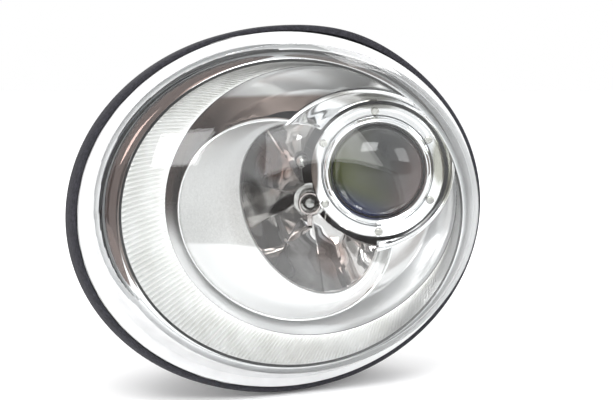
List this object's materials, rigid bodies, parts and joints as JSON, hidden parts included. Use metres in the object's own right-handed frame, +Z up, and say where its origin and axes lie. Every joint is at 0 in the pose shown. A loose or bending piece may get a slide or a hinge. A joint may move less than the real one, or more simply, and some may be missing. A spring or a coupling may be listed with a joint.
{
  "type": "car headlight assembly",
  "caption": "Swept oval car headlight with a clear domed lens, fluted trim, high-beam reflector, projector low beam, adjustable optics, dust caps and a slide-in mounting rail.",
  "frame": {"origin": "centre of the bounding box's footprint, at the height of the surface it stands on", "axes": "+Z up, +X to the right seen from the front, the clear lens faces -Y and the dust caps face +Y"},
  "size_m": [0.3088, 0.2848, 0.2728],
  "materials": {
    "foam_seal": "closed-cell foam, matt black",
    "clear_lens": "clear moulded polycarbonate with a hard coat",
    "sealant": "black butyl",
    "housing_plastic": "black glass-filled polypropylene",
    "bright_chrome": "vacuum-metallised, mirror finish",
    "satin_fluted": "metallised over fine flutes",
    "satin_silver": "metallised, fine satin grain",
    "reflector_mirror": "metallised faceted reflector",
    "lens_glass": "polished aspheric glass",
    "bulb_glass": "clear quartz glass and metal base",
    "zinc_steel": "bright zinc plate",
    "cast_alloy": "die-cast, as cast",
    "blackened_steel": "matt black",
    "carrier_plastic": "dark grey moulded plastic",
    "natural_acetal": "natural acetal",
    "knob_plastic": "off-white moulded plastic",
    "black_plastic": "black moulded plastic",
    "seal_silicone": "brown silicone",
    "contact_brass": "tinned brass"
  },
  "bodies": {
    "housing": {"housing": "housing_plastic", "rim_seal": "foam_seal", "outer_lens": "clear_lens", "lens_sealant": "sealant", "outer_bezel": "bright_chrome", "fluted_bezel": "satin_fluted", "inner_bezel": "bright_chrome", "bowl_bezel": "satin_silver", "projector_hood": "bright_chrome", "pivot_stud": "zinc_steel", "levelling_motor": "black_plastic", "low_cap_collar": "housing_plastic", "high_cap_collar": "housing_plastic", "low_cap_seal": "seal_silicone", "high_cap_seal": "seal_silicone", "main_connector": "black_plastic", "connector_contacts": "contact_brass", "vent_cap": "black_plastic", "guide_rail": "housing_plastic", "guide_rail_screw_1": "zinc_steel", "guide_rail_screw_2": "zinc_steel", "lock_bracket": "zinc_steel"},
    "aim_socket": {"pivot_socket": "natural_acetal"},
    "optics": {"optics_carrier": "carrier_plastic", "high_beam_reflector": "reflector_mirror", "high_beam_glare_tube": "bright_chrome", "high_beam_bulb": "bulb_glass", "bulb_clip_hinge": "zinc_steel", "projector_front_plate": "bright_chrome", "projector_screw_1": "zinc_steel", "projector_screw_2": "zinc_steel", "projector_screw_3": "zinc_steel", "projector_screw_4": "zinc_steel", "projector_screw_5": "zinc_steel", "projector_screw_6": "zinc_steel", "projector_lens_ring": "bright_chrome", "projector_lens": "lens_glass", "projector_barrel": "cast_alloy", "cutoff_shield": "blackened_steel", "projector_reflector": "reflector_mirror", "low_beam_bulb": "bulb_glass", "low_beam_bulb_ring": "black_plastic", "vertical_rod_socket": "natural_acetal", "horizontal_rod_socket": "natural_acetal"},
    "position_lamp": {"position_bulb_socket": "black_plastic", "position_bulb": "bulb_glass"},
    "bulb_clip": {"high_beam_bulb_clip": "zinc_steel"},
    "vertical_rod": {"vertical_adjuster_rod": "zinc_steel"},
    "vertical_knob": {"vertical_adjuster_knob": "knob_plastic"},
    "horizontal_rod": {"horizontal_adjuster_rod": "zinc_steel"},
    "horizontal_knob": {"horizontal_adjuster_knob": "knob_plastic"},
    "low_cap": {"low_beam_cap": "black_plastic"},
    "high_cap": {"high_beam_cap": "black_plastic"},
    "lock": {"lock_lever": "zinc_steel", "lock_shaft": "zinc_steel"}
  },
  "joints": [
    {"name": "horizontal_aim", "type": "hinge", "parent": "housing", "child": "aim_socket", "pos_m": [-0.0512, 0.03137, 0.079], "axis": [0, 0, 1], "range_deg": [-1.5, 1.5]},
    {"name": "vertical_aim", "type": "hinge", "parent": "aim_socket", "child": "optics", "pos_m": [-0.0512, 0.03137, 0.079], "axis": [1, 0, 0], "range_deg": [-2, 2]},
    {"name": "vertical_rod_slide", "type": "slide", "parent": "housing", "child": "vertical_rod", "axis": [0, 1, 0], "range_m": [-0.0042, 0.0042]},
    {"name": "vertical_knob_turn", "type": "hinge", "parent": "housing", "child": "vertical_knob", "pos_m": [-0.0512, 0.12637, 0.195], "axis": [0, 1, 0], "range_deg": [-500, 500]},
    {"name": "horizontal_rod_slide", "type": "slide", "parent": "housing", "child": "horizontal_rod", "axis": [0, 1, 0], "range_m": [-0.0038, 0.0038]},
    {"name": "horizontal_knob_turn", "type": "hinge", "parent": "housing", "child": "horizontal_knob", "pos_m": [0.0888, 0.10637, 0.079], "axis": [0, 1, 0], "range_deg": [-450, 450]},
    {"name": "low_cap_pull", "type": "slide", "parent": "housing", "child": "low_cap", "axis": [0, 1, 0], "range_m": [0, 0.045]},
    {"name": "high_cap_pull", "type": "slide", "parent": "housing", "child": "high_cap", "axis": [0, 1, 0], "range_m": [0, 0.045]},
    {"name": "bulb_clip_swing", "type": "hinge", "parent": "optics", "child": "bulb_clip", "pos_m": [0.0173, 0.03337, 0.112], "axis": [-1, 0, 0], "range_deg": [0, 75]},
    {"name": "position_socket_twist", "type": "hinge", "parent": "optics", "child": "position_lamp", "pos_m": [0.0128, 0.02737, 0.1685], "axis": [0, -1, 0], "range_deg": [0, 45]},
    {"name": "lock_lever_turn", "type": "hinge", "parent": "housing", "child": "lock", "pos_m": [0.0018, 0.05837, 0.259], "axis": [0, 0, -1], "range_deg": [0, 60]}
  ],
  "couplings": [
    {"joint": "vertical_rod_slide", "follows": "vertical_aim", "m_per_rad": -0.116},
    {"joint": "vertical_knob_turn", "follows": "vertical_aim", "ratio": -242.95},
    {"joint": "horizontal_rod_slide", "follows": "horizontal_aim", "m_per_rad": 0.14},
    {"joint": "horizontal_knob_turn", "follows": "horizontal_aim", "ratio": 293.22}
  ]
}
